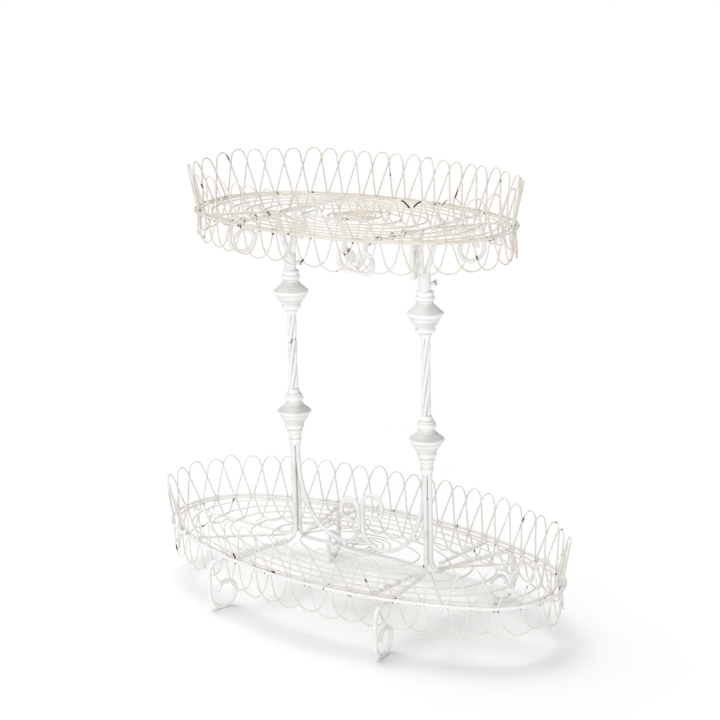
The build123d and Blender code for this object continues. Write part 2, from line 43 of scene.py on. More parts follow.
# Materials: a thin wrapper so that shader maths reads like arithmetic
class Link:
    def __init__(self, tree, socket):
        self.tree = tree
        self.socket = socket

    # Any node: its type, its settings, then the values or links of its sockets.
    def node(self, kind, settings=None, values=None, output=0):
        made = self.tree.nodes.new(kind)
        for key, value in (settings or {}).items():
            setattr(made, key, value)
        for key, value in (values or {}).items():
            if isinstance(value, Link):
                self.tree.links.new(value.socket, made.inputs[key])
            else:
                made.inputs[key].default_value = value
        return Link(self.tree, made.outputs[output])

    def math(self, operation, first, second=0.0):
        return self.node("ShaderNodeMath", {"operation": operation}, {0: first, 1: second})

    def __add__(self, other):
        return self.math("ADD", self, other)

    def __radd__(self, other):
        return self.math("ADD", other, self)

    def __sub__(self, other):
        return self.math("SUBTRACT", self, other)

    def __mul__(self, other):
        return self.math("MULTIPLY", self, other)

    def __rmul__(self, other):
        return self.math("MULTIPLY", other, self)

    def larger(self, other):
        return self.math("MAXIMUM", self, other)

    # 0 below low, 1 above high, smooth between.
    def step(self, low, high):
        return self.node(
            "ShaderNodeMapRange", {"interpolation_type": "SMOOTHSTEP"},
            {"Value": self, "From Min": low, "From Max": high},
        )

    # Colour first where this is 0, colour second where it is 1.
    def mix(self, first, second):
        return self.node(
            "ShaderNodeMix", {"data_type": "RGBA"}, {0: self, 6: first, 7: second}, output=2
        )

    # Cloudy noise on this vector, scale in patches per metre.
    def noise(self, scale, detail=3.0, roughness=0.55):
        return self.node(
            "ShaderNodeTexNoise", {},
            {"Vector": self, "Scale": scale, "Detail": detail, "Roughness": roughness},
        )


def startMaterial(name):
    material = bpy.data.materials.new(name)
    material.use_nodes = True
    tree = material.node_tree
    shader = tree.nodes["Principled BSDF"]
    place = Link(tree, tree.nodes.new("ShaderNodeTexCoord").outputs["Object"])
    return material, tree, shader, place


# Colour, roughness and a bump whose depth is in metres go to the shader.
def finishMaterial(tree, shader, colour, roughness, height, bumpDepth):
    tree.links.new(colour.socket, shader.inputs["Base Color"])
    tree.links.new(roughness.socket, shader.inputs["Roughness"])
    bump = height.node("ShaderNodeBump", {}, {"Height": height, "Distance": bumpDepth, "Strength": 1.0})
    tree.links.new(bump.socket, shader.inputs["Normal"])


# Old brushed paint on black iron. Paint colour drifts between two whites; chips are where slow noise is
# high and fine noise breaks its edge, more of them near joints; a rust stain lies round each chip; the bump
# is brushed paint, thicker than the bare spots by one paint coat.
def chippedPaint(name, look):
    material, tree, shader, place = startMaterial(name)
    place = place.node("ShaderNodeMapping", {}, {"Vector": place, "Location": look["offset"]})
    joint = place.node("ShaderNodeAttribute", {"attribute_name": "joint"}, {}, output=2)
    drift = place.noise(look["driftScale"], 2.0)
    cloud = place.noise(look["cloudScale"], 4.0)
    patches = place.noise(look["chipScale"], 2.0, 0.5)
    ragged = place.noise(look["raggedScale"], 4.0, 0.7)
    specks = place.noise(look["speckScale"], 2.0, 0.5)
    wear = patches + ragged * look["raggedShare"] + joint * look["jointWear"]
    bare = wear.step(look["chipLevel"], look["chipLevel"] + look["chipEdge"])
    bare = bare.larger(specks.step(look["speckLevel"], look["speckLevel"] + look["speckEdge"]))
    halo = wear.step(look["chipLevel"] - look["stainWidth"], look["chipLevel"] + look["speckEdge"])
    stainTone = (cloud + joint * look["jointStain"]).step(*look["stainFade"])
    paint = drift.step(*look["driftFade"]).mix(look["paint"], look["paintWarm"])
    hollow = place.node("ShaderNodeAttribute", {"attribute_name": "hollow"}, {}, output=2)
    paint = (cloud.step(*look["grimeFade"]) * look["grime"]).mix(paint, look["grimeColour"])
    # painted shade: the paint is darkened where the surface lies in a hollow (the bead grooves), more so where
    # cloudy noise is high
    paint = (hollow * (look["hollowShade"] + cloud * look["hollowShadeCloud"])).mix(paint, look["hollowShadeColour"])
    paint = (halo * stainTone * look["stain"]).mix(paint, look["rust"])
    metal = ragged.step(*look["bareFade"]).mix(look["bareDark"], look["bareBrown"])
    colour = bare.mix(paint, metal)
    brushed = place.noise(look["brushScale"], 3.0, 0.6)
    lumps = place.noise(look["lumpScale"], 2.0, 0.5)
    roughness = look["roughness"] + (brushed - 0.5) * look["roughSpread"] + bare * look["bareRoughness"]
    height = brushed * look["brushHeight"] + lumps * look["lumpHeight"] - bare * look["coatHeight"]
    finishMaterial(tree, shader, colour, roughness, height, look["bumpDepth"])
    shader.inputs["Specular IOR Level"].default_value = look["specular"]
    return material


ironLook = {
    "offset": (0.31, 0.17, 0.05), "paint": (0.865, 0.87, 0.868, 1), "paintWarm": (0.88, 0.872, 0.85, 1),
    "grime": 0.25, "grimeColour": (0.60, 0.585, 0.55, 1), "rust": (0.42, 0.235, 0.11, 1), "stain": 0.55,
    # painted shade: the dark colour that the paint takes in hollows such as the bead grooves
    "hollowShadeColour": (0.42, 0.41, 0.395, 1),
    "bareDark": (0.028, 0.022, 0.019, 1), "bareBrown": (0.10, 0.050, 0.026, 1),
    "driftScale": 9.0, "cloudScale": 38.0, "chipScale": 62.0, "raggedScale": 420.0, "speckScale": 210.0,
    "chipLevel": 0.83, "speckLevel": 0.765, "stainWidth": 0.055, "jointWear": 0.13,
    "brushScale": 520.0, "lumpScale": 130.0, "roughness": 0.44, "bumpDepth": 0.00055,
    "raggedShare": 0.16, "chipEdge": 0.012, "speckEdge": 0.02, "jointStain": 0.25, "stainFade": (0.36, 0.72),
    "driftFade": (0.34, 0.66), "grimeFade": (0.46, 0.80), "bareFade": (0.40, 0.62), "hollowShade": 0.22,
    "hollowShadeCloud": 0.6, "roughSpread": 0.30, "bareRoughness": 0.22, "brushHeight": 0.35, "lumpHeight": 0.65,
    "coatHeight": 0.8, "specular": 0.42,
}
wireLook = dict(
    ironLook, offset=(0.12, 0.43, 0.21), paint=(0.80, 0.765, 0.71, 1), paintWarm=(0.74, 0.675, 0.585, 1),
    chipScale=48.0, chipLevel=0.815, speckLevel=0.775, stainWidth=0.06, stain=0.5, jointWear=0.15,
    lumpScale=240.0, bumpDepth=0.00030, roughness=0.48,
)
lowWireLook = dict(
    wireLook, offset=(0.52, 0.08, 0.37), paint=(0.82, 0.805, 0.77, 1), paintWarm=(0.77, 0.73, 0.665, 1),
)
# a brighter copy of the iron paint, painted light so that the beads' downward-facing undersides read as bright
# as their lit parts; fewer chips and less grime than the iron paint
litBeadLook = dict(
    ironLook, offset=(0.71, 0.33, 0.11), paint=(0.93, 0.93, 0.925, 1), paintWarm=(0.93, 0.92, 0.90, 1),
    chipLevel=0.85, speckLevel=0.79, grime=0.15, stain=0.35,
)
stainLook = dict(
    ironLook, offset=(0.05, 0.29, 0.61), chipLevel=0.80, stain=0.8, stainWidth=0.08, grime=0.6,
)


# Zinc-grey metal: two greys by cloudy noise, dark pits where finer noise peaks, fine scratches as bump.
def wornScrewMetal(name, look):
    material, tree, shader, place = startMaterial(name)
    cloud = place.noise(look["cloudScale"], 4.0)
    pits = place.noise(look["pitScale"], 3.0, 0.6).step(*look["pitFade"])
    fine = place.noise(look["fineScale"], 2.0)
    colour = pits.mix(cloud.step(*look["cloudFade"]).mix(look["light"], look["dark"]), look["pit"])
    roughness = look["roughness"] + cloud * look["cloudRoughness"] + pits * look["pitRoughness"]
    finishMaterial(tree, shader, colour, roughness, fine * look["fineHeight"] - pits, look["bumpDepth"])
    shader.inputs["Metallic"].default_value = look["metallic"]
    return material


# Bare iron where paint is lost: black and brown by fine noise, with rough pitted bump.
def bareMetal(name, look):
    material, tree, shader, place = startMaterial(name)
    cloud = place.noise(look["cloudScale"], 4.0, 0.6)
    fine = place.noise(look["fineScale"], 3.0, 0.6)
    colour = cloud.step(*look["cloudFade"]).mix(look["dark"], look["brown"])
    colour = fine.step(*look["fineFade"]).mix(colour, look["paint"])
    roughness = look["roughness"] + fine * look["fineRoughness"]
    height = fine * look["fineHeight"] + cloud * look["cloudHeight"]
    finishMaterial(tree, shader, colour, roughness, height, look["bumpDepth"])
    return material


bareLook = {
    "dark": (0.030, 0.024, 0.020, 1), "brown": (0.115, 0.062, 0.034, 1), "paint": (0.55, 0.51, 0.45, 1),
    "cloudScale": 210.0, "fineScale": 700.0, "bumpDepth": 0.0003, "cloudFade": (0.38, 0.62),
    "fineFade": (0.52, 0.58), "roughness": 0.55, "fineRoughness": 0.3, "fineHeight": 0.6, "cloudHeight": 0.4,
}
screwLook = {
    "light": (0.84, 0.84, 0.83, 1), "dark": (0.64, 0.635, 0.63, 1), "pit": (0.05, 0.045, 0.04, 1),
    "cloudScale": 160.0, "pitScale": 330.0, "fineScale": 1500.0, "bumpDepth": 0.0003,
    "pitFade": (0.56, 0.62), "cloudFade": (0.4, 0.6), "roughness": 0.34, "cloudRoughness": 0.2,
    "pitRoughness": 0.3, "fineHeight": 0.5, "metallic": 0.25,
}

ironPaint = chippedPaint("chippedIronPaint", ironLook)
stainedPaint = chippedPaint("stainedIronPaint", stainLook)
litBeadPaint = chippedPaint("litBeadPaint", litBeadLook)
upperWirePaint = chippedPaint("creamWirePaint", wireLook)
lowerWirePaint = chippedPaint("ivoryWirePaint", lowWireLook)
screwMetal = wornScrewMetal("wornScrewMetal", screwLook)
bareIron = bareMetal("bareIron", bareLook)
print("materials made")


# Shapes, worked out as whole arrays
# Four tangent arcs, as points and outward normals at even steps of length, from the +X end by the back. The
# side arcs' centre lies where both arcs share a normal: reach = (c^2 + w^2 - r^2) / 2(w - r).
def ovalTable(halfLength, halfWidth, endRadius, samples=4000):
    endCentre = halfLength - endRadius
    sideRadius = (endCentre**2 + halfWidth**2 - endRadius**2) / (2 * (halfWidth - endRadius))
    sideCentre = sideRadius - halfWidth
    joint = math.atan2(sideCentre, endCentre)
    angle = np.linspace(0, 2 * np.pi, 200001)
    onEnd = np.abs(np.sin(angle)) <= math.sin(joint)
    radius = np.where(onEnd, endRadius, sideRadius)
    centreX = np.where(onEnd, endCentre * np.sign(np.cos(angle)), 0.0)
    centreY = np.where(onEnd, 0.0, -sideCentre * np.sign(np.sin(angle)))
    length = np.concatenate([[0], np.cumsum((radius[1:] + radius[:-1]) / 2 * np.diff(angle))])
    even = np.linspace(0, length[-1], samples)
    turn = np.interp(even, length, angle)
    onEnd = np.abs(np.sin(turn)) <= math.sin(joint)
    radius = np.where(onEnd, endRadius, sideRadius)
    centre = np.stack([
        np.where(onEnd, endCentre * np.sign(np.cos(turn)), 0.0),
        np.where(onEnd, 0.0, -sideCentre * np.sign(np.sin(turn))),
    ], axis=1)
    normal = np.stack([np.cos(turn), np.sin(turn)], axis=1)
    return even, centre + radius[:, None] * normal, normal


# Points and normals of an oval at distances along it, moved in by an inset.
def ovalAt(table, distance, inset=0.0):
    even, points, normals = table
    along = np.mod(distance, even[-1])
    point = np.stack([np.interp(along, even, points[:, i]) for i in (0, 1)], axis=-1)
    normal = np.stack([np.interp(along, even, normals[:, i]) for i in (0, 1)], axis=-1)
    normal /= np.linalg.norm(normal, axis=-1, keepdims=True)
    return point - normal * inset, normal


def unit(vectors):
    return vectors / np.maximum(np.linalg.norm(vectors, axis=-1, keepdims=True), 1e-12)


# Round skins along k paths of n points each: point + r (cos t * side + sin t * up). side is across the path
# and the given vector, up is across both.
def tubes(paths, radius, sides, aside, closed):
    paths = np.asarray(paths, float)
    count, steps = paths.shape[:2]
    if closed:
        ahead = unit(np.roll(paths, -1, axis=1) - np.roll(paths, 1, axis=1))
    else:
        ahead = unit(np.gradient(paths, axis=1))
    side = unit(np.cross(ahead, np.broadcast_to(aside, paths.shape)))
    up = np.cross(side, ahead)
    turn = np.linspace(0, 2 * np.pi, sides, endpoint=False)
    size = np.broadcast_to(radius, (count, steps))[..., None, None]
    skin = side[:, :, None] * np.cos(turn)[:, None] + up[:, :, None] * np.sin(turn)[:, None]
    points = (paths[:, :, None] + size * skin).reshape(-1, 3)
    rows = steps if closed else steps - 1
    k, i, j = np.meshgrid(np.arange(count), np.arange(rows), np.arange(sides), indexing="ij")
    nextStep, nextSide = (i + 1) % steps, (j + 1) % sides
    base = k * steps * sides
    quads = np.stack([
        base + i * sides + j, base + i * sides + nextSide,
        base + nextStep * sides + nextSide, base + nextStep * sides + j,
    ], axis=-1).reshape(-1, 4)
    faces = quads.tolist()
    if not closed:
        ring = np.arange(sides)
        for tube in range(count):
            start = tube * steps * sides
            faces.append((start + ring[::-1]).tolist())
            faces.append((start + (steps - 1) * sides + ring).tolist())
    return points, faces


# Adds a short taper at each end of an open path, so that a cut wire has a softened edge.
def roundedEnds(path, radius):
    first = unit(path[0] - path[1])
    last = unit(path[-1] - path[-2])
    longer = np.concatenate([[path[0] + first * radius * 0.35], path, [path[-1] + last * radius * 0.35]])
    size = np.full(len(longer), radius)
    size[[0, -1]] *= 0.72
    return longer, size


def makePiece(name, points, faces, material, body, joint=None, replaced=()):
    mesh = bpy.data.meshes.new(name)
    mesh.from_pydata(points, [], faces)
    mesh.validate()
    mesh.polygons.foreach_set("use_smooth", np.ones(len(mesh.polygons), bool))
    if joint is not None:
        layer = mesh.attributes.new("joint", "FLOAT", "POINT")
        layer.data.foreach_set("value", np.asarray(joint, np.float32).ravel())
    mesh.materials.append(material)
    piece = bpy.data.objects.new(name, mesh)
    bpy.context.scene.collection.objects.link(piece)
    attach(piece, body)
    if replaced:
        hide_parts(*replaced)
    return piece


# Slow random drift round a closed wire: a sum of a few sine waves.
def wander(random, count, waves, size):
    along = np.linspace(0, 2 * np.pi, count, endpoint=False)
    total = np.zeros(count)
    for wave in range(1, waves + 1):
        total += random.normal() * np.sin(wave * along + random.uniform(0, 2 * np.pi)) / math.sqrt(waves)
    return total * size


# The two tiers. Sizes in millimetres, as in the CAD
tiers = {
    "lower": {
        "body": "stand", "halfLength": 350.0, "halfWidth": 166.0, "endRadius": 110.0, "height": 90.6,
        "backLoops": 27, "frontLoops": 23, "backRise": 66.0, "frontRise": 66.0, "drop": 44.0, "leftLift": 0.0,
        "rim": 5.0, "rimPaint": ironPaint, "seed": 11, "wornShare": 0.12, "bareCrowns": {},
        "dotShare": 0.85, "dotsBelow": (3.6, 5.0), "wrapPaint": (stainedPaint, stainedPaint),
        "wirePaint": lowerWirePaint, "crossBars": (-122.5, 131.5), "wraps": (72.0, 100.0, 123.0),
    },
    "upper": {
        "body": "upper_tier", "halfLength": 265.0, "halfWidth": 153.0, "endRadius": 127.0, "height": 596.5,
        "backLoops": 24, "frontLoops": 20, "backRise": 66.0, "frontRise": 62.0, "drop": 44.0, "leftLift": 4.5,
        "rim": 3.6, "rimPaint": upperWirePaint, "seed": 23, "wornShare": 0.20,
        "bareCrowns": {39: -5, 40: 4, 41: 5},
        "dotShare": 0.30, "dotsBelow": (2.6, 3.8), "wrapPaint": (bareIron, stainedPaint),
        "wirePaint": upperWirePaint, "crossBars": (-122.5, 131.5), "wraps": (46.0, 72.0, 100.0, 123.0),
    },
}
wireSizes = {
    "innerRim": 3.0, "loop": 2.3, "ring": 2.4, "clearance": 0.3, "loopClearance": 1.2,
    "widthShare": 0.92, "lean": 14.0, "hang": 5.0, "crownShare": 0.36, "crownTurn": 50.0,
    "leanShare": 0.66, "footLean": 17.0, "waistShare": 0.75,
    "ringLengths": (0.89, 0.78, 0.675, 0.565, 0.455, 0.30), "ringWidths": (0.89, 0.785, 0.68, 0.57, 0.46, 0.35),
    "rosetteStart": 0.054, "rosetteSpacing": 0.0602, "rosetteHalfTurns": 8, "rosetteShift": 0.0602,
}


# How uneven handwork left the loops: shares of the spacing, millimetres and degrees; worn stretches and the
# dark dots under the rim at the loops' feet. Lengths along a loop are in points of its path.
loopBends = {
    "nudge": 0.045, "widthSpread": (0.97, 1.01), "liftShare": 0.25, "riseSpread": 0.9, "dropSpread": 1.1,
    "sway": 0.018, "leanSpread": 0.7, "bend": 2.0, "wornStrength": (1.6, 2.6), "wornLength": (1.6, 3.4),
    "crownStrength": 2.4, "crownLength": 3.6, "dotOut": 0.09, "sides": 8, "bendWindow": 41,
}


# How far inside the rim's centre line a layer of loops stands, layer 0 outside layer 1
def layerInset(tier, layer):
    outer = tier["rim"] / 2 + wireSizes["clearance"] + wireSizes["loop"] / 2
    return outer + layer * (wireSizes["loop"] + wireSizes["loopClearance"])


# The shorter way round a closed line of a given length, for a gap measured along it
def wayRound(gap, length):
    return np.abs(np.mod(gap + length / 2, length) - length / 2)


# Distance of a place counted in loops: even steps along the back half, then along the front half.
def loopDistance(tier, perimeter, place):
    back, front = tier["backLoops"], tier["frontLoops"]
    laps, rest = np.divmod(place, back + front)
    halves = np.where(rest <= back, rest / back, 1 + (rest - back) / front)
    return perimeter / 2 * (2 * laps + halves)


# One closed egg-shaped loop, from its heading along its length: crown arc, shoulder arc, straight side,
# waist arc at the rim, straight, foot arc; then the mirror image of all that.
def hoopCurve(halfWidth, spacing, rise, drop, steps=60):
    crown, waist = wireSizes["crownShare"] * spacing, wireSizes["waistShare"] * spacing
    crownTurn = math.radians(wireSizes["crownTurn"])
    lean = math.atan2(wireSizes["leanShare"] * halfWidth, rise)
    side, foot = math.pi / 2 - lean, math.pi / 2 + math.radians(wireSizes["footLean"])
    upper = np.linalg.solve(
        [[math.sin(side) - math.sin(crownTurn), math.cos(side)],
         [math.cos(crownTurn) - math.cos(side), math.sin(side)]],
        [halfWidth - crown * math.sin(crownTurn) - waist * (1 - math.sin(side)),
         rise - crown * (1 - math.cos(crownTurn)) - waist * math.cos(side)],
    )
    lower = np.linalg.solve(
        [[-math.cos(foot), math.sin(foot)], [math.sin(foot), 1 + math.cos(foot)]],
        [halfWidth - waist * (1 - math.sin(foot)), drop + waist * math.cos(foot)],
    )
    lengths = [
        crown * crownTurn, upper[0] * (side - crownTurn), upper[1], waist * (foot - side), lower[0],
        lower[1] * (math.pi - foot),
    ]
    ends = np.concatenate([[0], np.cumsum(lengths)])
    heading = np.array([0, crownTurn, side, side, foot, foot, math.pi])
    along = np.linspace(0, ends[-1], steps * 8 + 1)
    turned = np.interp(along, ends, heading)
    soft = np.hanning(loopBends["bendWindow"])
    reach = loopBends["bendWindow"] // 2
    padded = np.concatenate([-turned[reach:0:-1], turned, 2 * math.pi - turned[-2:-2 - reach:-1]])
    turned = np.convolve(padded, soft / soft.sum(), "valid")
    middle = (turned[1:] + turned[:-1]) / 2
    pace = np.diff(along)
    across = np.concatenate([[0], np.cumsum(np.cos(middle) * pace)])
    down = np.concatenate([[0], np.cumsum(np.sin(middle) * pace)])
    across -= np.linspace(0, across[-1], len(across))
    down *= (rise + drop) / down[-1]
    half = np.stack([across, rise - down], axis=1)[::8]
    return np.concatenate([half, half[-2:0:-1] * [-1, 1]])


# Every second loop of a tier, each bent a little differently, standing on its chord of the rim.
def makeLoops(name, tier, table, layer):
    random = np.random.default_rng(tier["seed"] + layer)
    perimeter = table[0][-1]
    places = np.arange(layer, tier["backLoops"] + tier["frontLoops"], 2) + 0.5
    share = wireSizes["widthShare"]
    nudge = random.uniform(-loopBends["nudge"], loopBends["nudge"], len(places))
    spread = loopBends["widthSpread"]
    starts = loopDistance(tier, perimeter, places - share * random.uniform(*spread, len(places)) + nudge)
    ends = loopDistance(tier, perimeter, places + share * random.uniform(*spread, len(places)) + nudge)
    inset = layerInset(tier, layer)
    first, _ = ovalAt(table, starts, inset)
    last, _ = ovalAt(table, ends, inset)
    chord = first - last
    halfWidth = np.linalg.norm(chord, axis=1) / 2
    chord = unit(chord)
    out = np.stack([-chord[:, 1], chord[:, 0]], axis=1)
    paths, joints, dots = [], [], []
    for i in range(len(places)):
        rise = tier["backRise"] if places[i] < tier["backLoops"] else tier["frontRise"]
        # towards the left end the loops sit higher on the rim
        middle = (first[i, 0] + last[i, 0]) / 2 / tier["halfLength"]
        lift = tier["leftLift"] * max(0, loopBends["liftShare"] - (1 - loopBends["liftShare"]) * middle)
        rise = rise + lift + random.normal(0, loopBends["riseSpread"])
        drop = tier["drop"] - lift + random.normal(0, loopBends["dropSpread"])
        flat = hoopCurve(halfWidth[i], (ends[i] - starts[i]) / (2 * share), rise, drop)
        flat[:, 0] += random.normal(0, loopBends["sway"]) * flat[:, 1]
        # it leans out above the rim and hangs out a little below it, softly bent between
        lean = math.tan(math.radians(wireSizes["lean"] + random.normal(0, loopBends["leanSpread"])))
        hang = math.tan(math.radians(wireSizes["hang"] + random.normal(0, loopBends["leanSpread"])))
        soft = np.sqrt(flat[:, 1] ** 2 + loopBends["bend"] ** 2) - loopBends["bend"]
        outward = (lean - hang) / 2 * flat[:, 1] + (lean + hang) / 2 * soft
        shorter = np.where(flat[:, 1] > 0, math.cos(math.atan(lean)), math.cos(math.atan(hang)))
        height = flat[:, 1] * shorter
        outward = outward * shorter
        centre = np.array([*(first[i] + last[i]) / 2, tier["height"]])
        path = centre + flat[:, :1] * np.array([*chord[i], 0.0]) + outward[:, None] * np.array([*out[i], 0.0])
        path[:, 2] += height
        paths.append(path)
        # a few hoops have lost their paint along a short stretch
        worn = (random.uniform() < tier["wornShare"]) * random.uniform(*loopBends["wornStrength"])
        around = np.arange(len(flat))
        apart = wayRound(around - random.integers(len(flat)), len(flat))
        joint = worn * np.exp(-((apart / random.uniform(*loopBends["wornLength"])) ** 2))
        # and a few named ones are bare on one shoulder of the crown
        if int(places[i]) in tier["bareCrowns"]:
            apart = wayRound(around - tier["bareCrowns"][int(places[i])], len(flat))
            joint = joint + loopBends["crownStrength"] * np.exp(-((apart / loopBends["crownLength"]) ** 4))
        joints.append(joint)
        # a dark bare-iron dot a little under the rim at each foot of the loop
        for side in (-1, 1):
            below = -random.uniform(*tier["dotsBelow"])
            place = centre + side * halfWidth[i] * np.array([*chord[i], 0.0])
            dots.append(place + np.array([*(-below * loopBends["dotOut"] * out[i]), below]))
    paths, joints = np.array(paths), np.array(joints)
    sides = loopBends["sides"]
    aside = np.repeat(
        np.array([[*o, 0.0] for o in out])[:, None], paths.shape[1], axis=1
    )
    points, faces = tubes(paths * mm, wireSizes["loop"] / 2 * mm, sides, aside, True)
    joint = np.repeat(joints.reshape(-1), sides)
    makePiece(
        f"{name}LoopWires{layer}", points, faces, tier["wirePaint"], tier["body"], joint,
        (f"{name}_loops_{'inner' if layer else 'outer'}",),
    )
    return first, last, np.array(dots)


# 1 at each mark along a rim, fading over a width.
def nearest(distances, marks, width, perimeter):
    gap = wayRound(distances[:, None] - marks[None], perimeter)
    return np.exp(-((gap.min(axis=1) / width) ** 2))


# How uneven the rims and the floor rings are: waves round the oval and millimetres; how wide a joint's wear is
rimBends = {
    "sideways": (9, 0.25), "level": (7, 0.25), "lumps": (60, 1.0), "lumpShare": 0.02, "wearWidth": 1.6,
    "ringSideways": (8, 0.7), "ringLevel": (6, 0.25), "ringSteps": 480, "ringSides": 8,
}


# One closed rod along the oval, a little wavy, with lumpy paint.
def makeRim(name, tier, table, inset, height, thickness, paint, node, marks, steps=720, sides=14):
    random = np.random.default_rng(tier["seed"] + 5 + sides)
    perimeter = table[0][-1]
    along = np.linspace(0, perimeter, steps, endpoint=False)
    point, normal = ovalAt(table, along, inset)
    point = point - normal * np.abs(wander(random, steps, *rimBends["sideways"]))[:, None]
    level = np.full(steps, height) + wander(random, steps, *rimBends["level"])
    path = np.concatenate([point, level[:, None]], axis=1)[None]
    size = thickness / 2 * (1 + rimBends["lumpShare"] * wander(random, steps, *rimBends["lumps"]))
    points, faces = tubes(path * mm, size[None] * mm, sides, (0, 0, 1.0), True)
    joint = np.repeat(nearest(along, marks, rimBends["wearWidth"], perimeter), sides)
    return makePiece(name, points, faces, paint, tier["body"], joint, (node,))


lumpShape = {
    "rings": 4, "columns": 8, "squash": (0.72, 1.18), "uneven": 0.12, "worn": 1.2,
}


# Weld lumps: small spheres, each squashed its own way. Rings of points lie between two poles.
def lumps(name, centres, radii, seed, material, body):
    random = np.random.default_rng(seed)
    rings, columns = lumpShape["rings"], lumpShape["columns"]
    lat = np.linspace(0, np.pi, rings + 2)[1:-1]
    lon = np.linspace(0, 2 * np.pi, columns, endpoint=False)
    ring = np.stack([
        np.sin(lat)[:, None] * np.cos(lon), np.sin(lat)[:, None] * np.sin(lon),
        np.repeat(np.cos(lat)[:, None], columns, axis=1),
    ], axis=-1).reshape(-1, 3)
    ball = np.concatenate([[[0, 0, 1.0]], ring, [[0, 0, -1.0]]])
    faces = []
    lastRing, lowPole = 1 + (rings - 1) * columns, 1 + rings * columns
    for j in range(columns):
        k = (j + 1) % columns
        faces.append((0, 1 + j, 1 + k))
        for row in range(rings - 1):
            a = 1 + row * columns
            faces.append((a + j, a + columns + j, a + columns + k, a + k))
        faces.append((lowPole, lastRing + k, lastRing + j))
    count, uneven = len(centres), lumpShape["uneven"]
    shape = ball[None] * random.uniform(*lumpShape["squash"], (count, 1, 3))
    shape = shape * np.asarray(radii).reshape(-1, 1, 1)
    shape = shape * (1 + random.uniform(-uneven, uneven, (count, len(ball), 1)))
    points = (np.asarray(centres)[:, None] + shape).reshape(-1, 3)
    every = [tuple(v + i * len(ball) for v in face) for i in range(count) for face in faces]
    worn = np.repeat(random.uniform(0, 1, count) ** 3, len(ball)) * lumpShape["worn"]
    return makePiece(name, points * mm, every, material, body, worn)


# Binding wire round a bar and the ring on it: a flattened helix along y.
def wrapCoil(centre, turns=2.5, width=4.2, across=3.35, tall=4.65, steps=18):
    t = np.linspace(0, turns, int(turns * steps) + 1)
    path = np.stack([
        across * np.cos(2 * np.pi * t), (t / turns - 0.5) * width, tall * np.sin(2 * np.pi * t),
    ], axis=1) + centre
    return path


tierDetails = {
    "weldApart": 0.08, "weldOut": 1.5, "weldBelow": 1.6, "weldRadius": (0.9, 1.5), "dotRadius": (1.4, 2.1),
    "wrapBelow": 2.8, "wrapRadius": 0.40, "wrapSides": 6, "innerRimSides": 10, "rosetteSides": 10,
    "rosetteSteps": 40, "ringSeed": 9, "weldSeed": 31, "dotSeed": 47,
}


